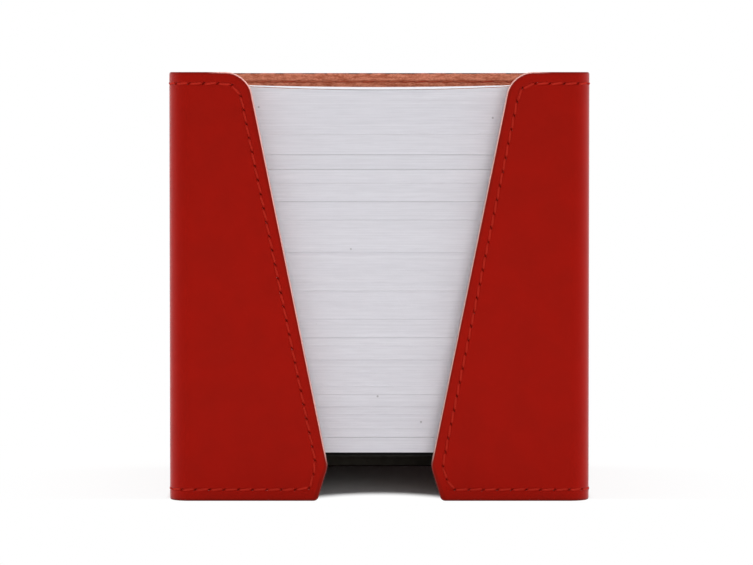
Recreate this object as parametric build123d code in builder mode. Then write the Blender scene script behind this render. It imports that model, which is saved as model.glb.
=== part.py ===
"""Memo cube holder: a stitched leather wrap round a folded base tray, filled with a cube of loose note sheets.

Millimetres. The origin is on the desk under the middle of the holder, +Z is up and the open front faces -Y.
"""

import math
import os

from build123d import *

# Note sheets
SHEET_SIDE = 90.0
SHEET_THICKNESS = 0.1
PACK_SHEETS = (38, 20, 35, 20, 30, 20, 65, 35, 20, 45, 70, 95, 80, 45, 45, 35, 35, 50, 85, 24)  # bottom to top
LOOSE_SHEETS = 1  # on top of the packs
PACK_JOG = 0.12  # how far a pack lies out of line with the others
TOP_BOW = 1.6  # how far the side edges of the top sheets rise above their middle
TOP_SHEET_AIR = 0.1  # air under the loose top sheet

# Leather wrap
LEATHER = 2.5
SHEET_CLEARANCE = 4.0  # from the edge of a sheet to the inner face of the leather
BEND_INNER_R = 2.5
RIM_ABOVE_CUBE = 4.3
EDGE_SOFTNESS = 0.5  # rounding along the cut edges

# Front opening between the two flaps
GAP_AT_RIM = 64.4
GAP_AT_KNEE = 25.2
GAP_AT_FOOT = 30.4
KNEE_HEIGHT = 8.5
FLAP_TOP_R = 6.5
FLAP_KNEE_R = 4.0
FLAP_FOOT_R = 1.2

# Folded base tray
BASE_TOP = 11.4
BOARD = 2.0
GLUE = 0.1  # adhesive between a folded tab and the leather
FOLD_INNER_R = 1.0
TAB_LIFT = 0.5  # the tabs stop this far above the desk
CORNER_RELIEF = 7.0
FINGER_NOTCH_WIDTH = 46.0
FINGER_NOTCH_DEPTH = 18.0
FINGER_NOTCH_R = 8.0

cube_height = (sum(PACK_SHEETS) + LOOSE_SHEETS) * SHEET_THICKNESS
rim_height = BASE_TOP + cube_height + RIM_ABOVE_CUBE
inner_side = SHEET_SIDE + 2 * SHEET_CLEARANCE
outer_side = inner_side + 2 * LEATHER
tray_side = inner_side - 2 * GLUE

os.makedirs("parts", exist_ok=True)


def save(piece, name):
    """Label a finished piece and write it as its own file."""
    piece.part.label = name
    export_step(piece.part, f"parts/{name}.step")


# Leather wrap: one strip bent round the back, both sides and the two front flaps
with BuildPart() as leather_wrap:
    with BuildSketch():
        RectangleRounded(outer_side, outer_side, BEND_INNER_R + LEATHER)
        RectangleRounded(inner_side, inner_side, BEND_INNER_R, mode=Mode.SUBTRACT)
    extrude(amount=rim_height)

    # The front opening is drawn as seen from the front and cut from the middle forwards
    with BuildSketch(Plane.XZ):
        with BuildLine():
            Polyline(
                (-GAP_AT_FOOT / 2, 0),
                (-GAP_AT_KNEE / 2, KNEE_HEIGHT),
                (-GAP_AT_RIM / 2, rim_height),
                (GAP_AT_RIM / 2, rim_height),
                (GAP_AT_KNEE / 2, KNEE_HEIGHT),
                (GAP_AT_FOOT / 2, 0),
                close=True,
            )
        make_face()
    extrude(amount=outer_side, mode=Mode.SUBTRACT)

    def through_flaps():
        """The short edges that run through the leather of the flaps, where their outline turns."""
        return leather_wrap.edges().filter_by(Axis.Y).filter_by(lambda edge: edge.center().Y < -inner_side / 2)

    fillet(through_flaps().group_by(Axis.Z)[-1], FLAP_TOP_R)
    fillet(through_flaps().group_by(Axis.Z)[0], FLAP_FOOT_R)
    knees = through_flaps().filter_by(lambda edge: math.isclose(edge.center().Z, KNEE_HEIGHT, abs_tol=1e-3))
    fillet(knees, FLAP_KNEE_R)

    bend_lines = leather_wrap.edges().filter_by(Axis.Z)
    fillet(leather_wrap.edges() - bend_lines - through_flaps(), EDGE_SOFTNESS)

save(leather_wrap, "leather_wrap")

# Base tray: a board with its margins folded down inside the wrap and a finger notch behind the front opening
with BuildPart() as base_tray:
    with BuildSketch(Plane.XY.offset(TAB_LIFT)):
        Rectangle(tray_side, tray_side)
    extrude(amount=BASE_TOP - TAB_LIFT)
    fillet(base_tray.faces().sort_by(Axis.Z)[-1].edges(), FOLD_INNER_R + BOARD)
    offset(amount=-BOARD, openings=base_tray.faces().sort_by(Axis.Z)[0])

    with BuildSketch():
        with GridLocations(tray_side, tray_side, 2, 2):
            Rectangle(2 * CORNER_RELIEF, 2 * CORNER_RELIEF)
        with Locations((0, -tray_side / 2)):
            RectangleRounded(FINGER_NOTCH_WIDTH, 2 * FINGER_NOTCH_DEPTH, FINGER_NOTCH_R)
    extrude(amount=BASE_TOP, mode=Mode.SUBTRACT)

save(base_tray, "base_tray")


def bowed_line(middle_height):
    """The curve of a bowed sheet seen from the front, from its left edge to its right edge."""
    edge_height = middle_height + TOP_BOW
    return ThreePointArc((-SHEET_SIDE / 2, edge_height), (0, middle_height), (SHEET_SIDE / 2, edge_height))


def back_edge(jog_x=0, jog_y=0):
    """The upright plane at the back edges of the sheets, seen from the front, jogged out of line."""
    return Plane(origin=(jog_x, SHEET_SIDE / 2 + jog_y, 0), x_dir=(1, 0, 0), z_dir=(0, -1, 0))


# Sheet packs: the bundles that the cube parts into, laid on the base tray from the bottom up
pack_bottom = BASE_TOP
for number, sheets in enumerate(PACK_SHEETS, start=1):
    pack_top = pack_bottom + sheets * SHEET_THICKNESS
    jog_x = PACK_JOG * math.sin(2.4 * number)
    jog_y = PACK_JOG * math.cos(1.7 * number)
    with BuildPart() as sheet_pack:
        with BuildSketch(back_edge(jog_x, jog_y)):
            with BuildLine():
                if number < len(PACK_SHEETS):
                    surface = Line((-SHEET_SIDE / 2, pack_top), (SHEET_SIDE / 2, pack_top))
                else:
                    surface = bowed_line(pack_top)
                Polyline(surface @ 1, (SHEET_SIDE / 2, pack_bottom), (-SHEET_SIDE / 2, pack_bottom), surface @ 0)
            make_face()
        extrude(amount=SHEET_SIDE)
    save(sheet_pack, f"sheet_pack_{number:02d}")
    pack_bottom = pack_top

# Top sheet: the loose sheet that is taken next, over the bowed top pack
with BuildPart() as top_sheet:
    with BuildSketch(back_edge()):
        with BuildLine():
            under = bowed_line(pack_bottom + TOP_SHEET_AIR)
            over = bowed_line(pack_bottom + TOP_SHEET_AIR + SHEET_THICKNESS)
            Line(under @ 0, over @ 0)
            Line(under @ 1, over @ 1)
        make_face()
    extrude(amount=SHEET_SIDE)

save(top_sheet, "top_sheet")
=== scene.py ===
# %% [markdown]
# # A stitched leather holder for note sheets
# The holder is one thick strip of red leather, sewn round its edges and bent into a box. The box is
# open at the top and has a V-shaped opening at the front. A cube of loose white sheets stands in it on a
# dark base. The measured model gives every size. This lesson gives the pieces their finished shapes,
# threads, paper edges and surfaces.

# %% Load the measured model
import math
import random

import bpy
from mathutils import Matrix, Vector


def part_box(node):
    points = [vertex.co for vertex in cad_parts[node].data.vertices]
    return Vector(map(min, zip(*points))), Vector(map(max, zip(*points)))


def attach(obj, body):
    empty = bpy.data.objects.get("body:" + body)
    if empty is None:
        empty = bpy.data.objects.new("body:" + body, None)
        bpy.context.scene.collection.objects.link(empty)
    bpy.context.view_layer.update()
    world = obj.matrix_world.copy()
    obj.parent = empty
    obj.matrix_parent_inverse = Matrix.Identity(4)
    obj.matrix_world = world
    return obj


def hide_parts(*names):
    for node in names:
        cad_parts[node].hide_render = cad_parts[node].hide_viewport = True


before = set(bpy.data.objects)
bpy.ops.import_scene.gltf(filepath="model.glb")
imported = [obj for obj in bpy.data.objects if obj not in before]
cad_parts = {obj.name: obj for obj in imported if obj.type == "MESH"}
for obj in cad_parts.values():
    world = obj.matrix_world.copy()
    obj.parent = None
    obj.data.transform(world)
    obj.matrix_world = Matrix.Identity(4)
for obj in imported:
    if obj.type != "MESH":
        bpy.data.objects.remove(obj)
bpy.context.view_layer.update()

MM = 0.001
wrap_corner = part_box("leather_wrap")[1]
half_side = wrap_corner.x
rim = wrap_corner.z
print(f"holder {2 * half_side / MM:.1f} mm wide and {rim / MM:.1f} mm high")

# %% [markdown]
# Modelling by hand is the same few moves again and again: let go of everything, take one piece, change
# it, and put its place into its mesh. These helpers are those moves, so that the later steps read like a
# work list.

# %% Helpers for working by hand
SAME_PLACE = 0.001 * MM  # points that are closer than this count as one


def let_go():
    """Leave edit mode and deselect everything."""
    if bpy.context.object and bpy.context.object.mode != "OBJECT":
        bpy.ops.object.mode_set(mode="OBJECT")
    bpy.ops.object.select_all(action="DESELECT")


def take(*pieces):
    """Select these pieces alone and make the last one active."""
    let_go()
    for piece in pieces:
        piece.select_set(True)
    bpy.context.view_layer.objects.active = pieces[-1]


def settle(piece):
    """Put a piece's place, turn and size into its mesh."""
    take(piece)
    bpy.ops.object.transform_apply(location=True, rotation=True, scale=True)


def modify(piece, kind, **settings):
    """Add a modifier, set it and apply it."""
    take(piece)
    modifier = piece.modifiers.new(kind.lower(), kind)
    for name, value in settings.items():
        setattr(modifier, name, value)
    bpy.ops.object.modifier_apply(modifier=modifier.name)


def pick(piece, wanted):
    """Go into edit mode with only the vertices selected that pass a test on their place."""
    take(piece)
    bpy.ops.object.mode_set(mode="EDIT")
    bpy.ops.mesh.select_mode(type="VERT")
    bpy.ops.mesh.select_all(action="DESELECT")
    bpy.ops.object.mode_set(mode="OBJECT")
    for vertex in piece.data.vertices:
        vertex.select = wanted(vertex.co)
    bpy.ops.object.mode_set(mode="EDIT")


def close_up(piece):
    """Merge the doubled points of a piece and turn its faces outwards."""
    pick(piece, lambda place: True)
    bpy.ops.mesh.remove_doubles(threshold=SAME_PLACE)
    bpy.ops.mesh.normals_make_consistent(inside=False)
    let_go()


def throw_away(piece):
    """Remove a tool or a pattern that has done its work."""
    let_go()
    bpy.data.objects.remove(piece)


print("helpers for working by hand are ready")

# %% [markdown]
# The leather starts as a flat strip on the cutting table. It could be modelled already bent, but then the
# slanted ends, the seam and every awl hole would have to find their way round four corners. Cut flat, each
# end is two straight cuts, and a curve bends the sewn strip at the very end. The same cuts, moved inwards
# by a margin, give the line that the needle follows. The strip stands on its edge here: X runs along it, Z
# is its height and its grain side faces +Y.

# %% Cut the strip flat
BEND = 5.0 * MM  # radius of the grain side round a corner
GAP_AT_RIM = 64.4 * MM
GAP_AT_KNEE = 25.2 * MM
GAP_AT_FOOT = 30.4 * MM
KNEE_HEIGHT = 8.5 * MM

straight = 2 * (half_side - BEND)
bend_length = math.pi / 2 * BEND
strip_length = 4 * (straight + bend_length)
# Each cut goes from its low end to its high end, given as X and Z
flap_cuts = (
    ((GAP_AT_KNEE / 2, KNEE_HEIGHT), (GAP_AT_RIM / 2, rim)),
    ((GAP_AT_FOOT / 2, 0.0), (GAP_AT_KNEE / 2, KNEE_HEIGHT)),
)


def cut_strip(name, margin):
    """A flat face with the outline of the strip, set in from the cut edge by a margin."""
    let_go()
    middle = (strip_length / 2, 0, rim / 2)
    bpy.ops.mesh.primitive_plane_add(size=1, location=middle, rotation=(-math.pi / 2, 0, 0))
    strip = bpy.context.object
    strip.name = name
    strip.scale = (strip_length, rim - 2 * margin, 1)
    settle(strip)
    bpy.ops.object.mode_set(mode="EDIT")
    for low, high in flap_cuts:
        along = Vector((high[0] - low[0], 0, high[1] - low[1])).normalized()
        outward = Vector((-along.z, 0, along.x))
        place = Vector((low[0], 0, low[1])) - outward * margin
        mirrored_place = (strip_length - place.x, 0, place.z)
        mirrored_outward = (-outward.x, 0, outward.z)
        for point, normal in ((place, outward), (mirrored_place, mirrored_outward)):
            bpy.ops.mesh.select_all(action="SELECT")
            bpy.ops.mesh.bisect(plane_co=point, plane_no=normal, clear_outer=True)
    let_go()
    return strip


print(f"a strip of {strip_length / MM:.1f} mm goes round the box")

# %% [markdown]
# No corner of the two flaps is left sharp, because a sharp leather corner soon curls and splits. The
# corners could be rounded after the strip has its thickness, but on the flat face each one is a single
# point, so a vertex bevel rounds it exactly. The bevel is told how far to cut back from the point, which
# follows from the radius and from how far the outline turns there. A line inside the edge turns more
# tightly.

# %% Round the corners of the flaps
FLAP_TOP_RADIUS = 6.5 * MM
FLAP_KNEE_RADIUS = 4.0 * MM
FLAP_FOOT_RADIUS = 1.2 * MM
SHARP_RADIUS = 1.0 * MM  # the least rounding that a line keeps

slant = math.atan2((GAP_AT_RIM - GAP_AT_KNEE) / 2, rim - KNEE_HEIGHT)
undercut = math.atan2((GAP_AT_FOOT - GAP_AT_KNEE) / 2, KNEE_HEIGHT)


def round_corners(strip, height, radius, turn, steps):
    """Round the corners that both flaps have at a height, given how far the outline turns there."""
    def on_flap_corner(place):
        from_end = min(place.x, strip_length - place.x)
        return from_end < straight / 2 and abs(place.z - height) < SAME_PLACE

    pick(strip, on_flap_corner)
    cut_back = radius * math.tan(turn / 2)
    bpy.ops.mesh.bevel(affect="VERTICES", offset=cut_back, segments=steps, profile=0.5)
    let_go()


def cut_rounded_strip(name, margin):
    """The strip's outline, or a line inside it, with the corners of its flaps rounded."""
    strip = cut_strip(name, margin)
    heights = sorted(vertex.co.z for vertex in strip.data.vertices)
    foot, knee, top = heights[0], heights[2], heights[-1]
    corners = (
        (top, FLAP_TOP_RADIUS, math.pi / 2 - slant, 8),
        (knee, FLAP_KNEE_RADIUS, slant + undercut, 4),
        (foot, FLAP_FOOT_RADIUS, math.pi / 2 - undercut, 4),
    )
    for height, radius, turn, steps in corners:
        round_corners(strip, height, max(radius - margin, SHARP_RADIUS), turn, steps)
    return strip


leather_strip = cut_rounded_strip("leather_strip", 0.0)
print(f"the strip's outline has {len(leather_strip.data.vertices)} points")

# %% [markdown]
# A hand seam begins with its holes. A marking iron pricks them at an even pitch along a line inside the cut
# edge, and an awl opens each one as a narrow slit that leans against the line. The awl is held at a slant,
# so the holes come out nearer to the edge on the inner face. On the model each line is the same pattern cut
# with its own margin, and the holes are found by walking along it in equal steps, so the seam follows every
# corner.

# %% Walk along the needle lines
SEAM_MARGIN = 2.8 * MM
INNER_MARGIN = 2.3 * MM
STITCH = 3.5 * MM


def outline_of(pattern):
    """The corner points of a flat pattern, in order round its edge."""
    corners = pattern.data.polygons[0].vertices
    return [pattern.data.vertices[index].co.copy() for index in corners]


def runs_of(points):
    """The runs of a closed line, each from one point to the next."""
    return list(zip(points, points[1:] + points[:1]))


def length_of(runs):
    """How long a line is, all runs together."""
    return sum((there - here).length for here, there in runs)


def walk(runs, count):
    """Marks at even steps along a closed line: each is a place and the direction of the line there."""
    step = length_of(runs) / count
    marks = []
    passed = 0.0
    for here, there in runs:
        length = (there - here).length
        while len(marks) < count and len(marks) * step <= passed + length:
            share = (len(marks) * step - passed) / length
            marks.append((here.lerp(there, share), (there - here).normalized()))
        passed += length
    return marks


edge_lines = runs_of(outline_of(leather_strip))
seam_pattern = cut_rounded_strip("seam_pattern", SEAM_MARGIN)
inner_pattern = cut_rounded_strip("inner_pattern", INNER_MARGIN)
seam_runs = runs_of(outline_of(seam_pattern))
hole_count = round(length_of(seam_runs) / STITCH)
holes = walk(seam_runs, hole_count)
inner_holes = walk(runs_of(outline_of(inner_pattern)), hole_count)
print(f"{hole_count} holes, one every {length_of(seam_runs) / hole_count / MM:.2f} mm of the seam")

# %% [markdown]
# The strip becomes leather when it gets its thickness and loses its sharp edges. The flat face is extruded
# away from the grain side, and a Bevel modifier rounds the long edges as an edge tool does. The angle limit
# keeps the bevel off the small steps of the rounded corners.

# %% Give the strip its thickness
LEATHER = 2.5 * MM
EDGE_ROUNDING = 0.5 * MM

pick(leather_strip, lambda place: True)
bpy.ops.mesh.extrude_region_move(TRANSFORM_OT_translate={"value": (0, -LEATHER, 0)})
bpy.ops.mesh.select_all(action="SELECT")
bpy.ops.mesh.normals_make_consistent(inside=False)
let_go()
modify(leather_strip, "BEVEL", width=EDGE_ROUNDING, segments=3,
       limit_method="ANGLE", angle_limit=math.radians(60))
print(f"leather {LEATHER / MM:.1f} mm thick with {len(leather_strip.data.polygons)} faces")

# %% [markdown]
# The pull of the thread presses a shallow groove into both faces of the leather. It is cut with a tube: a
# seam pattern loses its face, becomes a curve, gets a round section and is a mesh again. A Boolean modifier
# takes one tube out of the grain side and another out of the inner side.

# %% Press the seam groove into both faces
GROOVE_RADIUS = 0.9 * MM
GROOVE_DEPTH = 0.15 * MM


def make_tube(pattern):
    """Turn a flat pattern into a round tube along its outline."""
    take(pattern)
    bpy.ops.object.mode_set(mode="EDIT")
    bpy.ops.mesh.select_all(action="SELECT")
    bpy.ops.mesh.delete(type="ONLY_FACE")
    take(pattern)
    bpy.ops.object.convert(target="CURVE")
    tube = bpy.context.object
    tube.data.bevel_depth = GROOVE_RADIUS
    tube.data.bevel_resolution = 4
    bpy.ops.object.convert(target="MESH")
    close_up(tube)
    return tube


for pattern, face_height, outward in ((seam_pattern, 0.0, 1), (inner_pattern, -LEATHER, -1)):
    seam_tube = make_tube(pattern)
    seam_tube.location.y = face_height + outward * (GROOVE_RADIUS - GROOVE_DEPTH)
    modify(leather_strip, "BOOLEAN", object=seam_tube, operation="DIFFERENCE", solver="MANIFOLD")
    throw_away(seam_tube)
print(f"groove {GROOVE_DEPTH / MM:.2f} mm deep, strip of {len(leather_strip.data.polygons)} faces")

# %% [markdown]
# An awl has a diamond section, so its hole is a pointed slit. The thread fills the hole inside the leather,
# so only the open mouths on both faces are modelled. One blade is a four-sided cylinder, copied to every
# mark with the same lean, and a whole comb of blades is taken out of each face.

# %% Open the awl holes
SLIT_LENGTH = 1.1 * MM
SLIT_WIDTH = 0.45 * MM
SLIT_LEAN = math.radians(35)
SLIT_DEPTH = 0.6 * MM


def copies_at(model, name, places):
    """Copy a small model, mesh and all, to every place and join the copies into one piece."""
    copies = []
    for place in places:
        copy = model.copy()
        copy.data = model.data.copy()
        copy.data.transform(place)
        bpy.context.collection.objects.link(copy)
        copies.append(copy)
    take(*copies)
    bpy.ops.object.join()
    joined = bpy.context.object
    joined.name = name
    return joined


def lay_along(place, direction):
    """Move a model to a place on the flat strip and turn its X axis along a direction there."""
    return Matrix.Translation(place) @ Matrix.Rotation(-math.atan2(direction.z, direction.x), 4, "Y")


let_go()
bpy.ops.mesh.primitive_cylinder_add(vertices=4, radius=1, depth=1, rotation=(math.pi / 2, 0, 0))
awl = bpy.context.object
awl.scale = (SLIT_LENGTH / 2, SLIT_WIDTH / 2, 2 * SLIT_DEPTH)
settle(awl)
awl.data.transform(Matrix.Rotation(SLIT_LEAN, 4, "Y"))
for marks, face_height in ((holes, 0.0), (inner_holes, -LEATHER)):
    awl_comb = copies_at(awl, "awl_comb", [lay_along(place, direction) for place, direction in marks])
    awl_comb.location.y = face_height
    modify(leather_strip, "BOOLEAN", object=awl_comb, operation="DIFFERENCE", solver="MANIFOLD")
    throw_away(awl_comb)
throw_away(awl)
print(f"{hole_count} slits in each face, strip of {len(leather_strip.data.polygons)} faces")

# %% [markdown]
# Before the strip is bent it needs edges to bend along, so it is bisected across each of the four corners,
# only as often as a smooth corner needs. Then every point notes where it lay on the flat strip, how far it
# was from the cut edge, and how far from the two slanted ends. The finish reads these notes later, because
# after bending no coordinate tells them.

# %% Prepare the strip for bending
BEND_STEPS = 12
LEAST_RISE = 0.01 * MM  # a run of the outline that rises less than this is no part of an end


def distance_to(lines, point):
    """How far a point of the flat strip is from the nearest of some straight lines."""
    spot = Vector((point.x, 0, point.z))
    nearest = strip_length
    for here, there in lines:
        along = there - here
        share = max(0.0, min(1.0, (spot - here).dot(along) / along.length_squared))
        nearest = min(nearest, (here + along * share - spot).length)
    return nearest


def note_on_points(piece, name, kind, values):
    """Store one value for each point of a piece as a named attribute."""
    attribute = piece.data.attributes.new(name, kind, "POINT")
    attribute.data.foreach_set("vector" if kind == "FLOAT_VECTOR" else "value", values)


take(leather_strip)
bpy.ops.object.mode_set(mode="EDIT")
for corner in range(4):
    start = straight / 2 + corner * (straight + bend_length)
    for step in range(BEND_STEPS + 1):
        bpy.ops.mesh.select_all(action="SELECT")
        bpy.ops.mesh.bisect(plane_co=(start + bend_length * step / BEND_STEPS, 0, 0), plane_no=(1, 0, 0))
let_go()
end_lines = [(here, there) for here, there in edge_lines if abs(there.z - here.z) > LEAST_RISE]
points = [vertex.co.copy() for vertex in leather_strip.data.vertices]
note_on_points(leather_strip, "flat", "FLOAT_VECTOR", [number for point in points for number in point])
note_on_points(leather_strip, "from_edge", "FLOAT", [distance_to(edge_lines, point) for point in points])
note_on_points(leather_strip, "from_end", "FLOAT", [distance_to(end_lines, point) for point in points])
print(f"{len(points)} points noted")

# %% [markdown]
# One stitch is a short bezier curve that comes up out of a hole, lies in the groove and dives into the next
# hole. A straight rod would look like a dash drawn on the leather, and the turn down at both ends is what
# makes it thread. It gets a round section, becomes a mesh of a few dozen faces and notes its own
# coordinates, which its finish needs once it is copied.

# %% Model one stitch
THREAD = 0.56 * MM
STITCH_REACH = 0.37  # from the middle to where the stitch turns down, as a share of its length
STITCH_SINK = 0.12 * MM  # how deep its middle lies in the groove
STITCH_DIVE = 1.1 * MM  # how deep its ends go into their holes
STITCH_HANDLE = 0.36 * MM  # a longer handle makes a rounder turn


def bezier_curve(stops):
    """A curve through some stops, each a place and the handle that leads on from it."""
    let_go()
    bpy.ops.curve.primitive_bezier_curve_add(radius=1)
    curve = bpy.context.object
    bezier_points = curve.data.splines[0].bezier_points
    bezier_points.add(len(stops) - len(bezier_points))
    for point, (place, handle) in zip(bezier_points, stops):
        point.handle_left_type = "FREE"
        point.handle_right_type = "FREE"
        point.co = place
        point.handle_left = place - handle
        point.handle_right = place + handle
    return curve


stitch_stops = []
for along, depth, handle in (
    (-0.5, STITCH_DIVE, 0.0),
    (-STITCH_REACH, STITCH_SINK, STITCH_HANDLE),
    (STITCH_REACH, STITCH_SINK, STITCH_HANDLE),
    (0.5, STITCH_DIVE, 0.0),
):
    stitch_stops.append((Vector((along * STITCH, -depth, 0)), Vector((handle, 0, 0))))
stitch = bezier_curve(stitch_stops)
stitch.data.resolution_u = 2
stitch.data.bevel_depth = THREAD / 2
stitch.data.bevel_resolution = 1
stitch.data.use_fill_caps = True
take(stitch)
bpy.ops.object.convert(target="MESH")
stitch = bpy.context.object
settle(stitch)
close_up(stitch)
lay = [number for vertex in stitch.data.vertices for number in vertex.co]
note_on_points(stitch, "lay", "FLOAT_VECTOR", lay)
print(f"one stitch has {len(stitch.data.polygons)} faces")

# %% [markdown]
# Saddle stitching is done with one thread and two needles, so both faces carry the same row of stitches.
# The stitch is copied between every two holes, stretched to fit and leaning a little, as no hand pulls
# every stitch alike. The paper rubs on the inner row, so its thread is thinner, and each stitch notes how
# worn it is.

# %% Sew both faces
STITCH_LEAN = math.radians(6)
HAND_SWAY = 0.03  # radians by which a stitch may lean more or less than that
hand = random.Random(7)
rubbing = random.Random(11)


def sew(name, marks, face_height, turn, fineness, wear):
    """Lay a stitch between every two neighbouring holes on one face, and note how worn each one is."""
    places = []
    for (here, _), (there, _) in runs_of(marks):
        middle = (here + there) / 2
        middle.y = face_height
        stretch = Matrix.Diagonal(((there - here).length / STITCH, fineness, fineness, 1))
        lean = Matrix.Rotation(STITCH_LEAN + hand.uniform(-HAND_SWAY, HAND_SWAY), 4, "Y")
        places.append(lay_along(middle, there - here) @ turn @ lean @ stretch)
    row = copies_at(stitch, name, places)
    each = len(row.data.vertices) // len(marks)
    worn = []
    for _ in marks:  # the square root makes much worn stitches the common ones
        worn += [rubbing.uniform(0, 1) ** 0.5 * wear] * each
    note_on_points(row, "worn", "FLOAT", worn)
    return row


turned_over = Matrix.Rotation(math.pi, 4, "X")
outer_thread = sew("outer_thread", holes, 0.0, Matrix.Identity(4), fineness=1.0, wear=0.0)
inner_thread = sew("inner_thread", inner_holes, -LEATHER, turned_over, fineness=0.5, wear=1.0)
throw_away(stitch)
print(f"{hole_count} stitches on each face, {len(outer_thread.data.polygons)} faces in a row")

# %% [markdown]
# Now the sewn strip is bent round the box. A Curve modifier does it: the path is the outside of the box
# seen from above, from the middle of the front round the left side, the back and the right side. Straight
# runs are exact as bezier pieces and quarter circles very nearly so. The strip keeps its length and meets
# the measured wrap everywhere.

# %% Bend the strip and its thread round the box
CIRCLE_HANDLE = 0.5523  # length of a bezier handle for a quarter circle, as a share of its radius
sewn_strip = (leather_strip, outer_thread, inner_thread)

bend_handle = CIRCLE_HANDLE * BEND
stops = [(Vector((0, -half_side, 0)), Vector((-straight / 6, 0, 0)))]
for quarter in range(4):
    heading = Matrix.Rotation(-quarter * math.pi / 2, 3, "Z") @ Vector((-1, 0, 0))
    after = Matrix.Rotation(-math.pi / 2, 3, "Z") @ heading
    corner = (heading - after) * half_side
    stops.append((corner - heading * BEND, heading * bend_handle))
    stops.append((corner + after * BEND, after * bend_handle))
stops.append(stops[0])
bending_path = bezier_curve(stops)
bending_path.data.twist_mode = "Z_UP"
bending_path.data.resolution_u = 32
settle(bending_path)
for piece in sewn_strip:
    modify(piece, "CURVE", object=bending_path, deform_axis="POS_X")
path_length = bending_path.data.splines[0].calc_length()
throw_away(bending_path)
print(f"path {path_length / MM:.2f} mm for a strip of {strip_length / MM:.2f} mm")

# %% [markdown]
# Shading decides whether the leather looks solid. Smooth shading by angle makes the groove and the rounded
# edges soft and leaves the slits crisp, and a Weighted Normal modifier lets the large flat faces stay flat
# right up to the edges.

# %% Smooth the leather and hand it over
SHARP_ANGLE = math.radians(40)  # edges that turn more than this stay sharp


def smooth(*pieces):
    """Shade pieces smoothly, but keep their sharp edges."""
    take(*pieces)
    bpy.ops.object.shade_smooth_by_angle(angle=SHARP_ANGLE)


smooth(*sewn_strip)
modify(leather_strip, "WEIGHTED_NORMAL", mode="FACE_AREA", weight=50, keep_sharp=True)
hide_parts("leather_wrap")
for piece in sewn_strip:
    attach(piece, "holder")
for axis, letter in enumerate("XYZ"):
    places = [vertex.co[axis] / MM for vertex in leather_strip.data.vertices]
    print(f"leather from {min(places):.2f} to {max(places):.2f} mm along {letter}")

# %% [markdown]
# The cube is a stack of nearly nine hundred loose sheets. A block with a line pattern would look right from
# one side only, so every sheet is a real thin slab. One sheet is modelled, divided across its width where
# it has to curl. Nobody stacks paper perfectly, so each sheet is pushed a few hundredths of a millimetre,
# and notes a tone of its own. The sheets on top have dried, and their sides curl up.

# %% Helpers for the paper
SHEET_SIDE = 90.0 * MM
SHEET_PUSH = 0.04 * MM
CURL_AT_BACK = 0.5  # share of the curl that is left at the back edge


def model_sheet(name, middle, bottom, thickness, parts):
    """One flat sheet at its place, divided across its width into a number of parts."""
    let_go()
    bpy.ops.mesh.primitive_cube_add(size=1, location=(middle.x, middle.y, bottom + thickness / 2))
    sheet = bpy.context.object
    sheet.name = name
    sheet.scale = (SHEET_SIDE, SHEET_SIDE, thickness)
    settle(sheet)
    bpy.ops.object.mode_set(mode="EDIT")
    for part in range(1, parts):
        bpy.ops.mesh.select_all(action="SELECT")
        across = middle.x + SHEET_SIDE * (part / parts - 0.5)
        bpy.ops.mesh.bisect(plane_co=(across, 0, 0), plane_no=(1, 0, 0))
    let_go()
    return sheet


def loosen(pack, count):
    """Push every sheet of a pack a little out of line, and note each sheet's own tone."""
    each = len(pack.data.vertices) // count
    tones = []
    for number in range(count):
        push = Vector((hand.uniform(-1, 1) * SHEET_PUSH, hand.uniform(-1, 1) * SHEET_PUSH, 0))
        tones += [hand.uniform(0, 1)] * each
        for vertex in pack.data.vertices[number * each:(number + 1) * each]:
            vertex.co += push
    note_on_points(pack, "tone", "FLOAT", tones)


def curl_up(paper, low, height, curl_below, curl_above):
    """Raise the sides of a pack or sheet, less towards its back, by amounts for its bottom and its top."""
    for vertex in paper.data.vertices:
        sideways = vertex.co.x / (SHEET_SIDE / 2)
        forward = 1 - (1 - CURL_AT_BACK) * (vertex.co.y - low.y) / SHEET_SIDE
        level = (vertex.co.z - low.z) / height
        vertex.co.z += (curl_below + (curl_above - curl_below) * level) * sideways * sideways * forward


print("helpers for the paper are ready")

# %% [markdown]
# The stack parts into twenty packs, and a little air stays on top of each one, which is what draws the
# darker lines. Hundreds of sheets needn't be placed one by one: an Array modifier repeats the first sheet
# of a pack up to its top. Only the topmost pack curls, from flat at its bottom to the full curl at its top.

# %% Stack the loose sheets
SHEET_PITCH = 0.1 * MM
SHEET_AIR = 0.004 * MM  # between two sheets of a pack
CURL = 1.6 * MM
TOP_PACK_PARTS = 16
# Millimetres of air on top of each pack, from the bottom up
PARTINGS = (
    0.072, 0.012, 0.010, 0.036, 0.028, 0.004, 0.025, 0.024, 0.040, 0.006,
    0.025, 0.024, 0.042, 0.062, 0.018, 0.068, 0.057, 0.022, 0.008, 0.015,
)

papers = []
sheets_made = 0
for number, parting in enumerate(PARTINGS, start=1):
    low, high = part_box(f"sheet_pack_{number:02d}")
    is_top = number == len(PARTINGS)
    curl = CURL if is_top else 0.0
    parts = TOP_PACK_PARTS if is_top else 1
    height = high.z - low.z - curl
    count = round(height / SHEET_PITCH)
    pitch = (height - parting * MM) / count
    pack = model_sheet(f"notes_{number:02d}", (low + high) / 2, low.z, pitch - SHEET_AIR, parts)
    modify(pack, "ARRAY", count=count, use_relative_offset=False, use_constant_offset=True,
           constant_offset_displace=(0, 0, pitch))
    loosen(pack, count)
    curl_up(pack, low, height, 0.0, curl)
    smooth(pack)
    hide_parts(f"sheet_pack_{number:02d}")
    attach(pack, "note_stack")
    papers.append(pack)
    sheets_made += count
print(f"{sheets_made} sheets in {len(PARTINGS)} packs")

# %% [markdown]
# The top sheet is the next one to be taken. Its sides curl up as those of the pack under it do, and its
# back edge stands off the pack, so that a sliver of its upper face shows from the front. It is a finer
# sheet of the same kind, bent by moving its points.

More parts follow.
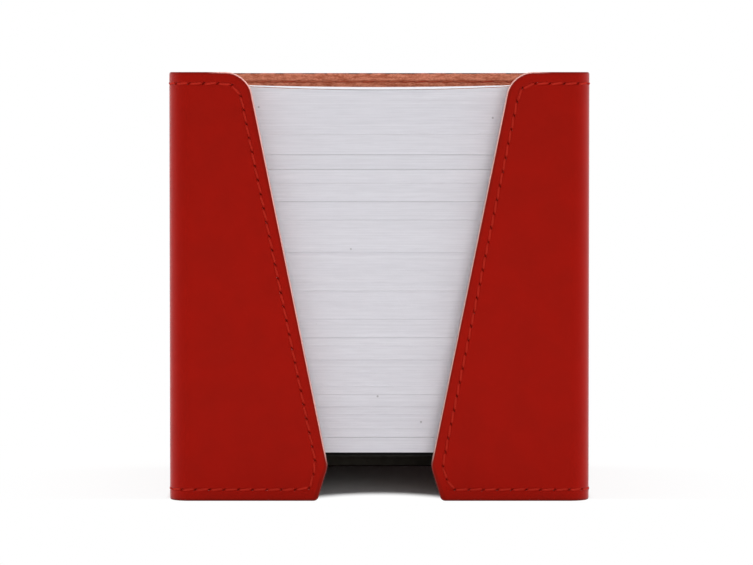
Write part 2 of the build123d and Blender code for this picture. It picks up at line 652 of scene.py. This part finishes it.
# %% Lay the loose top sheet
LOOSE_SHEET = 0.9 * SHEET_PITCH
LOOSE_SHEET_PARTS = 24
BACK_LIFT = 0.50 * MM

low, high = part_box("top_sheet")
top_sheet = model_sheet("loose_note", (low + high) / 2, low.z, LOOSE_SHEET, LOOSE_SHEET_PARTS)
loosen(top_sheet, 1)
curl_up(top_sheet, low, SHEET_PITCH, CURL, CURL)
for vertex in top_sheet.data.vertices:
    vertex.co.z += BACK_LIFT * (vertex.co.y - low.y) / SHEET_SIDE
smooth(top_sheet)
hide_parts("top_sheet")
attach(top_sheet, "loose_sheet")
papers.append(top_sheet)
print(f"{len(papers)} pieces of paper")

# %% [markdown]
# Materials come next. A small helper adds a shader node and fills its sockets, either with a value or with
# the output of another node, so that a material reads from top to bottom as a recipe. Colours are written
# as on a paint chart, from 0 to 255, and turned into the linear values that Blender mixes with.

# %% Helpers for colours and sums
def paint(red, green, blue):
    """A colour from a paint chart as Blender's linear colour, by the usual formula for screens."""
    def linear(part):
        part /= 255
        return part / 12.92 if part <= 0.04045 else ((part + 0.055) / 1.055) ** 2.4
    return (linear(red), linear(green), linear(blue), 1.0)


def put(tree, kind, inputs=None, **settings):
    """Add a shader node, make its settings, and fill its inputs with values or other nodes' outputs."""
    node = tree.nodes.new(kind)
    for name, value in settings.items():
        setattr(node, name, value)
    for name, value in (inputs or {}).items():
        if isinstance(value, bpy.types.NodeSocket):
            tree.links.new(value, node.inputs[name])
        else:
            node.inputs[name].default_value = value
    return node


def sums(tree, operation, first, second=0.0, third=0.0):
    """A Math node's result."""
    return put(tree, "ShaderNodeMath", {0: first, 1: second, 2: third}, operation=operation).outputs[0]


def times(tree, first, second):
    """One value times another."""
    return sums(tree, "MULTIPLY", first, second)


def larger(tree, first, second):
    """The larger of two values."""
    return sums(tree, "MAXIMUM", first, second)


def ease(tree, value, start, end, low=0.0, high=1.0):
    """A value carried smoothly from one range to another."""
    ranges = {"Value": value, "From Min": start, "From Max": end, "To Min": low, "To Max": high}
    return put(tree, "ShaderNodeMapRange", ranges, interpolation_type="SMOOTHSTEP").outputs[0]


def mix(tree, share, first, second):
    """Two colours mixed by a share from 0 to 1."""
    return put(tree, "ShaderNodeMix", {0: share, 6: first, 7: second}, data_type="RGBA").outputs[2]


print("helpers for colours and sums are ready")

# %% [markdown]
# A finish also has to know where it is on a piece: at which place, on which side, and what the points of
# the mesh have noted there. These helpers fetch that, make the two things that several recipes need, a soft
# noise and a bump, and end a recipe with its shader.

# %% Helpers for the finishes
def noted(tree, name, output="Fac"):
    """What the points of a piece have noted under a name."""
    return put(tree, "ShaderNodeAttribute", attribute_name=name).outputs[output]


def object_place(tree):
    """The place on the piece itself."""
    return put(tree, "ShaderNodeTexCoord").outputs["Object"]


def parts_of(tree, vector):
    """A vector's X, Y and Z."""
    return put(tree, "ShaderNodeSeparateXYZ", {0: vector}).outputs


def off_middle(tree, parts):
    """How far a place is from the upright line through the middle, to the side or to the front or back."""
    return larger(tree, sums(tree, "ABSOLUTE", parts["X"]), sums(tree, "ABSOLUTE", parts["Y"]))


def mapped(tree, vector, **changes):
    """A place that is scaled or turned, so that a pattern is."""
    inputs = {"Vector": vector}
    for name, value in changes.items():
        inputs[name.capitalize()] = value
    return put(tree, "ShaderNodeMapping", inputs).outputs[0]


def noise(tree, place, scale, detail):
    """A soft noise between 0 and 1."""
    inputs = {"Vector": place, "Scale": scale, "Detail": detail}
    return put(tree, "ShaderNodeTexNoise", inputs).outputs["Fac"]


def bump(tree, height, strength, distance):
    """A surface direction that follows a height."""
    inputs = {"Height": height, "Strength": strength, "Distance": distance}
    return put(tree, "ShaderNodeBump", inputs).outputs[0]


def new_finish(name):
    """An empty material and its node tree."""
    finish = bpy.data.materials.new(name)
    finish.use_nodes = True
    finish.node_tree.nodes.clear()
    return finish, finish.node_tree


def shade_with(tree, inputs):
    """End a finish with a Principled shader."""
    shader = put(tree, "ShaderNodeBsdfPrincipled", inputs)
    put(tree, "ShaderNodeOutputMaterial", {"Surface": shader.outputs[0]})


def coat(piece, finish):
    """Give a piece one material all over."""
    piece.data.materials.clear()
    piece.data.materials.append(finish)


print("helpers for the finishes are ready")

# %% [markdown]
# Raw leather, paper and board all show fibres: short streaks that are a little lighter or darker and stand
# up a little. Three materials need them at different sizes, so they are a node group, built once. It gives
# a tone around one half and a height for a bump.

# %% A shared group for fibres
fibres = bpy.data.node_groups.new("fibres", "ShaderNodeTree")
for name, kind in (("Place", "Vector"), ("Size", "Float"), ("Streak", "Float")):
    fibres.interface.new_socket(name, in_out="INPUT", socket_type=f"NodeSocket{kind}")
for name in ("Tone", "Height"):
    fibres.interface.new_socket(name, in_out="OUTPUT", socket_type="NodeSocketFloat")
inside = put(fibres, "NodeGroupInput").outputs
sized = {0: inside["Place"], "Scale": inside["Size"]}
sized_place = put(fibres, "ShaderNodeVectorMath", sized, operation="SCALE").outputs[0]
cloud = noise(fibres, sized_place, scale=1.0, detail=4.0)
streaks = put(fibres, "ShaderNodeTexNoise", {
    "Vector": sized_place,
    "Scale": 4.0,
    "Detail": 6.0,
    "Roughness": 0.7,
    "Distortion": inside["Streak"],
}).outputs["Fac"]
middle_tone = times(fibres, sums(fibres, "ADD", cloud, streaks), 0.5)
put(fibres, "NodeGroupOutput", {"Tone": middle_tone, "Height": streaks})


def add_fibres(tree, place, size, streak):
    """Place the fibre group in a material."""
    inputs = {"Place": place, "Size": size, "Streak": streak}
    group = put(tree, "ShaderNodeGroup", inputs, node_tree=fibres)
    return group.outputs["Tone"], group.outputs["Height"]


print("fibres group with", ", ".join(socket.name for socket in fibres.interface.items_tree))

# %% [markdown]
# The leather is red on its grain side only, and its inner side, its cut ends, its edges and its holes all
# look different. Painting that by hand would need a flat map of the strip. The points already carry one:
# their depth under the grain, their height above the desk and their distances from the edge and from the
# slanted ends. The masks here read those notes and say where a finish begins. The ends show their pale core
# beside the paper. Below the paper it is nearly gone, and at the rim it is a little fainter.

# %% Find the sides of the leather
leather, tree = new_finish("red_leather")
flat = noted(tree, "flat", "Vector")
from_edge = noted(tree, "from_edge")
from_end = noted(tree, "from_end")
flat_parts = parts_of(tree, flat)
along_strip = flat_parts["X"]
above_desk = flat_parts["Z"]
depth = times(tree, flat_parts["Y"], -1.0)
raw_side = ease(tree, depth, 1.2 * MM, 1.4 * MM)
in_hole = ease(tree, depth, 0.17 * MM, 0.30 * MM)
edge_side = ease(tree, from_edge, 0.32 * MM, 0.22 * MM)
edge_shade = ease(tree, from_edge, 0.80 * MM, 0.50 * MM)
rough_side = larger(tree, raw_side, edge_side)
foot = ease(tree, above_desk, 3.2 * MM, 1.0 * MM)
end_cut = ease(tree, from_end, 5.0 * MM, 0.8 * MM)
# Painted shade: the pale core fades out below the paper and is a little fainter at the rim.
end_cut = times(tree, end_cut, ease(tree, above_desk, 8.0 * MM, 13.0 * MM, 0.08, 1.0))
end_cut = times(tree, end_cut, ease(tree, above_desk, rim - 3 * MM, rim - 15 * MM, 0.8, 1.0))
print(f"masks of {len(tree.nodes)} nodes")

# %% [markdown]
# The dye is a little cloudy, and the red is darker towards the foot. Painted shade darkens it towards the
# rim, in a line beside the cut edges and in the holes. The inner side is brown and fibrous, darker in its
# groove, and painted shade darkens it at the foot. The core in the slanted ends is pale and browner towards
# the raw side, and painted shade greys it at the right-hand end, most of all lower down. The long edges
# have darkened with age at the rim, and painted shade darkens them at the foot where they meet the desk.
# Each colour is mixed on its own first, and the masks then put them together.

# %% Colour the leather
RED_DYE = paint(150, 15, 4)
# The darker red also serves as painted shade towards the rim, beside the cut edges and on the long edges at
# the foot.
DARK_DYE_AND_SHADE = paint(118, 15, 5)
# Painted shade for the walls of the awl holes.
HOLE_SHADE = paint(124, 3, 1)
PALE_CORE = paint(240, 184, 176)
# Painted shade for the core of the right-hand end.
SHADED_CORE = paint(204, 173, 167)
RAW_LIGHT = paint(224, 144, 116)
RAW_DARK = paint(164, 82, 56)
RAW_GROOVE = paint(150, 66, 44)
OLD_EDGE = paint(76, 42, 35)
OLD_EDGE_PALE = paint(190, 114, 98)
# Painted shade for the foot of the inner side.
FOOT_SHADE = paint(64, 52, 46)

tone, height = add_fibres(tree, mapped(tree, flat, scale=(0.3, 1.0, 1.0)), size=1300.0, streak=0.4)
dye_cloud = noise(tree, flat, scale=140.0, detail=4.0)
rim_shade = ease(tree, above_desk, rim - 45 * MM, rim - 5 * MM, 0.0, 0.12)
dye_and_shade = mix(tree, ease(tree, dye_cloud, 0.3, 0.7, 0.0, 0.18), RED_DYE, DARK_DYE_AND_SHADE)
dye_and_shade = mix(tree, times(tree, foot, 0.22), dye_and_shade, DARK_DYE_AND_SHADE)
# Painted shade: the red darkens towards the rim and in a line beside the cut edges.
dye_and_shade = mix(tree, rim_shade, dye_and_shade, DARK_DYE_AND_SHADE)
dye_and_shade = mix(tree, times(tree, edge_shade, 0.55), dye_and_shade, DARK_DYE_AND_SHADE)
# Painted shade: the walls of the awl holes are darkened.
dye_and_shade = mix(tree, in_hole, dye_and_shade, HOLE_SHADE)

from_seam = sums(tree, "ABSOLUTE", sums(tree, "SUBTRACT", from_edge, INNER_MARGIN))
raw = mix(tree, ease(tree, tone, 0.35, 0.65), RAW_DARK, RAW_LIGHT)
raw = mix(tree, ease(tree, from_seam, 0.48 * MM, 0.15 * MM, 0.0, 0.5), raw, RAW_GROOVE)
# Painted shade: the inner side darkens at the foot, next to the desk.
raw = mix(tree, foot, raw, FOOT_SHADE)

# Painted shade: the pale core of the right-hand end is greyed, most of all lower down.
right_end = ease(tree, along_strip, 0.4 * strip_length, 0.6 * strip_length)
right_end_shade = times(tree, ease(tree, above_desk, rim, rim / 2, 0.5, 0.9), right_end)
core = mix(tree, right_end_shade, PALE_CORE, SHADED_CORE)
core = mix(tree, ease(tree, depth, 1.0 * MM, 2.4 * MM, 0.0, 0.8), core, raw)
core = mix(tree, ease(tree, height, 0.45, 0.7, 0.0, 0.5), core, RAW_DARK)

old_edge = mix(tree, ease(tree, tone, 0.46, 0.58), OLD_EDGE, OLD_EDGE_PALE)
# The long cut edges take the darker red: at the rim it is age, and at the foot it is painted shade where
# they meet the desk.
cut_colour = mix(tree, end_cut, mix(tree, raw_side, DARK_DYE_AND_SHADE, old_edge), core)
# Painted shade: the cut darkens at the foot on its raw side.
cut_colour = mix(tree, times(tree, foot, raw_side), cut_colour, FOOT_SHADE)
leather_colour = mix(tree, edge_side, mix(tree, raw_side, dye_and_shade, raw), cut_colour)
print(f"masks and colours of {len(tree.nodes)} nodes")

# %% [markdown]
# A pebble grain and a soft sheen on the red side are what tell leather from painted board. The pebbles
# are the cells of a cell texture, high in their middles and low where they meet. They are far smaller than
# a stitch, so a bump is enough. The raw and cut sides are fibrous and matt. They and the walls of the holes
# have hardly any sheen.

# %% Give the leather its grain and sheen
cells = {"Vector": flat, "Scale": 1500.0}
pebbles = put(tree, "ShaderNodeTexVoronoi", cells, feature="DISTANCE_TO_EDGE").outputs["Distance"]
pebble_height = times(tree, ease(tree, pebbles, 0.0, 0.35), 0.5)
leather_height = sums(tree, "MULTIPLY_ADD", rough_side, height, pebble_height)
dull = larger(tree, rough_side, in_hole)
shade_with(tree, {
    "Base Color": leather_colour,
    "Normal": bump(tree, leather_height, strength=0.35, distance=0.03 * MM),
    "Roughness": ease(tree, rough_side, 0.0, 1.0, 0.46, 0.95),
    "Specular IOR Level": 0.05,
    "Sheen Weight": ease(tree, dull, 0.0, 1.0, 0.36, 0.04),
    "Sheen Roughness": 0.36,
})
coat(leather_strip, leather)
print(f"leather finish of {len(tree.nodes)} nodes")

# %% [markdown]
# The thread is waxed and twisted from a few strands. Modelled strands would cost thousands of faces for a
# thread half a millimetre thick. Its stitches carry their own coordinates, noted before they were copied,
# so slanting bands of painted shade along each stitch can stand for the twist wherever the stitch ended up,
# and painted shade can darken the ends towards their holes. The worn stitches of the inner face have lost
# some of their dye to the brown of the leather.

# %% The thread's finish
THREAD_RED = paint(173, 38, 26)
THREAD_SHADE = paint(152, 25, 15)
THREAD_WORN = paint(182, 94, 70)
TWIST = math.radians(40)

thread, tree = new_finish("waxed_thread")
along_stitch = noted(tree, "lay", "Vector")
bands = {"Vector": mapped(tree, along_stitch, rotation=(0, TWIST, 0)), "Scale": 900.0, "Distortion": 0.4}
strands = put(tree, "ShaderNodeTexWave", bands, wave_type="BANDS", bands_direction="X").outputs["Fac"]
from_middle = sums(tree, "ABSOLUTE", parts_of(tree, along_stitch)["X"])
# Painted shade: darker bands between the twisted strands, and darker ends where a stitch dives into its
# holes.
thread_hole_shade = ease(tree, from_middle, 0.20 * STITCH, 0.42 * STITCH, 0.0, 0.8)
thread_colour = mix(tree, ease(tree, strands, 0.0, 0.5, 0.7, 0.0), THREAD_RED, THREAD_SHADE)
thread_colour = mix(tree, thread_hole_shade, thread_colour, THREAD_SHADE)
thread_colour = mix(tree, noted(tree, "worn"), thread_colour, THREAD_WORN)
shade_with(tree, {
    "Base Color": thread_colour,
    "Normal": bump(tree, strands, strength=0.6, distance=0.05 * MM),
    "Roughness": 0.6,
    "Specular IOR Level": 0.06,
})
for piece in (outer_thread, inner_thread):
    coat(piece, thread)
print(f"thread finish of {len(tree.nodes)} nodes")

# %% [markdown]
# Plain note paper is not quite white. Every sheet takes up light a little differently along its cut edge,
# which is the tone each sheet was given when the packs were loosened, and its surface has a fine fibre. A
# dull blade leaves streaks along the cut faces, a few sheets thick, and now and then a small nick. The
# face's direction keeps both off the flat sides.

# %% The paper's finish
PAPER_LIGHT = paint(221, 220, 226)
PAPER_SHADE = paint(211, 210, 216)
PAPER_NICK = paint(172, 170, 174)

paper, tree = new_finish("note_paper")
place = object_place(tree)
facing = parts_of(tree, put(tree, "ShaderNodeNewGeometry").outputs["Normal"])["Z"]
on_cut_face = ease(tree, sums(tree, "ABSOLUTE", facing), 0.6, 0.3)
tone, height = add_fibres(tree, place, size=900.0, streak=0.3)
shade = sums(tree, "ADD", times(tree, noted(tree, "tone"), 0.6), times(tree, tone, 0.4))
blade_streaks = noise(tree, mapped(tree, place, scale=(150.0, 150.0, 2600.0)), scale=1.0, detail=2.0)
streak_shade = times(tree, sums(tree, "MULTIPLY_ADD", blade_streaks, 1.6, -0.8), on_cut_face)
paper_colour = mix(tree, sums(tree, "ADD", shade, streak_shade), PAPER_SHADE, PAPER_LIGHT)
nick_spots = put(tree, "ShaderNodeTexVoronoi", {"Vector": place, "Scale": 130.0}).outputs["Distance"]
nicks = times(tree, ease(tree, nick_spots, 0.045, 0.02), on_cut_face)
shade_with(tree, {
    "Base Color": mix(tree, nicks, paper_colour, PAPER_NICK),
    "Normal": bump(tree, height, strength=0.15, distance=0.01 * MM),
    "Roughness": 0.9,
    "Specular IOR Level": 0.2,
})
for piece in papers:
    coat(piece, paper)
print(f"paper finish on {len(papers)} pieces")

# %% [markdown]
# The base is a folded tray of board, and its measured shape is already right, so it only needs a finish:
# black and nearly matt where it shows, and bare grey board with flecks on its hollow underside. The
# underside is found by its place, between the folded walls and under the top.

# %% The board's finish
BOARD_BLACK = paint(16, 15, 14)
BOARD_FLECK = paint(32, 30, 28)
BARE_GREY = paint(98, 92, 83)
BARE_FLECK = paint(110, 103, 94)
BOARD = 2.0 * MM
tray_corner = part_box("base_tray")[1]

board, tree = new_finish("black_board")
place = object_place(tree)
place_parts = parts_of(tree, place)
outwards = off_middle(tree, place_parts)
between_walls = ease(tree, outwards, tray_corner.x - 0.7 * BOARD, tray_corner.x - 0.9 * BOARD)
under_top = ease(tree, place_parts["Z"], tray_corner.z - 0.97 * BOARD, tray_corner.z - 0.99 * BOARD)
tone, height = add_fibres(tree, place, size=400.0, streak=0.8)
black = mix(tree, ease(tree, tone, 0.45, 0.75), BOARD_BLACK, BOARD_FLECK)
bare = mix(tree, ease(tree, tone, 0.35, 0.65), BARE_GREY, BARE_FLECK)
shade_with(tree, {
    "Base Color": mix(tree, times(tree, between_walls, under_top), black, bare),
    "Normal": bump(tree, height, strength=0.4, distance=0.05 * MM),
    "Roughness": ease(tree, tone, 0.3, 0.7, 0.6, 0.8),
    "Specular IOR Level": 0.2,
})
coat(bpy.data.objects["base_tray"], board)
print(f"board finish of {len(tree.nodes)} nodes")

# %% [markdown]
# The camera stands a little over a metre in front of the holder, about level with its rim, and looks
# slightly down. A long lens at that distance keeps the sides out of view. The lens follows from how large
# the holder's front face should be in the picture.

# %% Place the camera
PICTURE_WIDTH = 753
PIXELS_PER_MM = 4.09  # on the front face of the holder
CAMERA_DISTANCE = 1100.0 * MM
CAMERA_HEIGHT = 102.0 * MM
AIM_SIDEWAYS = -0.7 * MM
AIM_HEIGHT = 53.6 * MM
SENSOR_WIDTH = 36.0

scene = bpy.context.scene
aim = Vector((AIM_SIDEWAYS, -half_side, AIM_HEIGHT))
camera_data = bpy.data.cameras.new("camera")
camera = bpy.data.objects.new("camera", camera_data)
scene.collection.objects.link(camera)
camera.location = (aim.x, aim.y - CAMERA_DISTANCE, CAMERA_HEIGHT)
sight = aim - camera.location
camera.rotation_euler = sight.to_track_quat("-Z", "Y").to_euler()
camera_data.sensor_width = SENSOR_WIDTH
camera_data.lens = PIXELS_PER_MM / MM * sight.length / PICTURE_WIDTH * SENSOR_WIDTH
camera_data.clip_start = 10 * MM
scene.camera = camera
print(f"lens of {camera_data.lens:.1f} mm")

# %% [markdown]
# The studio is a pale table in a white room. A matt table alone would turn grey away from the lamps, so to
# the camera it is plain white from a little way off, and close to the holder it is a real surface that
# takes its shadow. In the front opening the white is painted light that reaches in under the holder,
# further in at the middle than beside the flaps.

# %% Lay the table
TABLE_SIDE = 6.0  # metres
TABLE_GREY = paint(236, 236, 236)
WHITE = (1, 1, 1, 1)
WHITE_NEAR = 0.88  # how white the table is just beside the holder
WHITE_FAR = 1 - WHITE_NEAR  # what is added further off
WHITE_ENDS = 12.5 * MM  # behind the front face, where the white in the opening begins to fade
SHADE_STARTS = 27 * MM  # behind the front face, where it is gone
FLAP_SHADE = 9 * MM  # how much nearer to the front both lie beside the flaps
FLAP_SHADE_RISE = 40.0  # how fast the flaps' shade grows with the square of the way sideways

let_go()
bpy.ops.mesh.primitive_plane_add(size=TABLE_SIDE, location=(0, 0, 0))
table = bpy.context.object
table.name = "studio_table"
table_finish, tree = new_finish("studio_table")
spot = parts_of(tree, object_place(tree))
reach = off_middle(tree, spot)
rays = put(tree, "ShaderNodeLightPath").outputs
seen = larger(tree, rays["Is Camera Ray"], rays["Is Glossy Ray"])
seen = larger(tree, seen, rays["Is Transmission Ray"])

near = ease(tree, reach, half_side - 1 * MM, half_side + 1.5 * MM)
far = ease(tree, reach, half_side + 10 * MM, half_side + 60 * MM)
beside = sums(tree, "MULTIPLY_ADD", near, WHITE_NEAR, times(tree, far, WHITE_FAR))
flap_shade = times(tree, times(tree, spot["X"], spot["X"]), FLAP_SHADE_RISE)
flap_shade = sums(tree, "MINIMUM", flap_shade, FLAP_SHADE)
backwards = sums(tree, "ADD", spot["Y"], flap_shade)
# Painted light: to the camera the table under the holder's front opening is white.
painted_opening_light = ease(tree, backwards, -half_side + SHADE_STARTS, -half_side + WHITE_ENDS)
white_share = times(tree, seen, larger(tree, beside, painted_opening_light))
matt = put(tree, "ShaderNodeBsdfDiffuse", {"Color": TABLE_GREY}).outputs[0]
white = put(tree, "ShaderNodeEmission", {"Color": WHITE, "Strength": 1.0}).outputs[0]
surface = put(tree, "ShaderNodeMixShader", {0: white_share, 1: matt, 2: white}).outputs[0]
print(f"table of {TABLE_SIDE:.0f} m with {len(tree.nodes)} nodes so far")

# %% [markdown]
# Red leather lights up what is near it, so a faint warm light lies on the table under the paper, a little
# more of it on the right. Bounced light alone comes out too weak there. It is added as a light of the
# table's own that only the camera and reflections see, and it fades towards the back.

# %% Warm the table under the paper
WARM = (1.0, 0.6, 0.55, 1)

under_paper = ease(tree, spot["Y"], -half_side + 75 * MM, -half_side + 25 * MM, 0.45, 1.0)
under_paper = times(tree, under_paper, ease(tree, reach, half_side, half_side - 5 * MM))
to_the_right = ease(tree, spot["X"], -12 * MM, 14 * MM, 0.006, 0.014)
warm_light = times(tree, seen, times(tree, under_paper, to_the_right))
warm = put(tree, "ShaderNodeEmission", {"Color": WARM, "Strength": warm_light}).outputs[0]
table_shader = put(tree, "ShaderNodeAddShader", {0: surface, 1: warm}).outputs[0]
put(tree, "ShaderNodeOutputMaterial", {"Surface": table_shader})
coat(table, table_finish)
print(f"table finish of {len(tree.nodes)} nodes")

# %% [markdown]
# The room is plain white to the camera and gives a weak light from all round. Leather mirrors what stands
# in front of it, and a white room there would wash out the red. So in reflections the room is dark in front
# of the holder and bright behind it.

# %% Light the room
ROOM_LIGHT = 0.30
DARK_FRONT = 0.04  # what is left of the room in front, in reflections

room = bpy.data.worlds.new("room")
room.use_nodes = True
scene.world = room
tree = room.node_tree
tree.nodes.clear()
rays = put(tree, "ShaderNodeLightPath").outputs
seen = larger(tree, rays["Is Camera Ray"], rays["Is Transmission Ray"])
direction = parts_of(tree, put(tree, "ShaderNodeTexCoord").outputs["Generated"])
mirrored = ease(tree, direction["Y"], -0.5, 0.3, DARK_FRONT, 1.0)
mirrored_change = sums(tree, "SUBTRACT", mirrored, ROOM_LIGHT)
room_light = sums(tree, "MULTIPLY_ADD", rays["Is Glossy Ray"], mirrored_change, ROOM_LIGHT)
room_strength = larger(tree, seen, room_light)
background = put(tree, "ShaderNodeBackground", {"Color": WHITE, "Strength": room_strength})
put(tree, "ShaderNodeOutputWorld", {"Surface": background.outputs[0]})
print(f"room of {len(tree.nodes)} nodes")

# %% [markdown]
# Six soft lamps do the rest. The front lamp stands to the right, with a weak fill lamp a little left of the
# middle and a weak key lamp higher up. Wide lamps at both sides and overhead light the bends, the back wall
# and the top sheet. All are kept out of reflections, where they would show as bright squares. A lamp's
# power is worked out from its distance, so it can be moved without changing how bright the holder is.

# %% Hang the lamps
def hang_lamp(name, place, width, height, share):
    """A soft lamp, in metres, that aims at the holder and gives it a share of full light."""
    data = bpy.data.lights.new(name, "AREA")
    data.shape = "RECTANGLE"
    data.size = width
    data.size_y = height
    lamp = bpy.data.objects.new(name, data)
    scene.collection.objects.link(lamp)
    lamp.location = place
    lamp.visible_glossy = False
    towards = Vector((0, 0, rim / 2)) - lamp.location
    lamp.rotation_euler = towards.to_track_quat("-Z", "Y").to_euler()
    data.energy = share * math.pi * math.pi * towards.length_squared


hang_lamp("front_lamp", place=(0.45, -2.4, 0.38), width=1.2, height=0.9, share=0.29)
hang_lamp("fill_lamp", place=(-0.12, -2.4, 0.28), width=0.4, height=0.4, share=0.045)
hang_lamp("key_lamp", place=(0, -1.9, 1.8), width=0.7, height=0.7, share=0.09)
hang_lamp("left_lamp", place=(-1.8, 0.6, 0.6), width=1.2, height=1.2, share=0.76)
hang_lamp("right_lamp", place=(1.8, 0.6, 0.6), width=1.2, height=1.2, share=0.76)
hang_lamp("top_lamp", place=(0, 0, 1.8), width=1.2, height=1.2, share=0.62)
scene.view_settings.view_transform = "Standard"
print(f"{len(bpy.data.lights)} lamps")
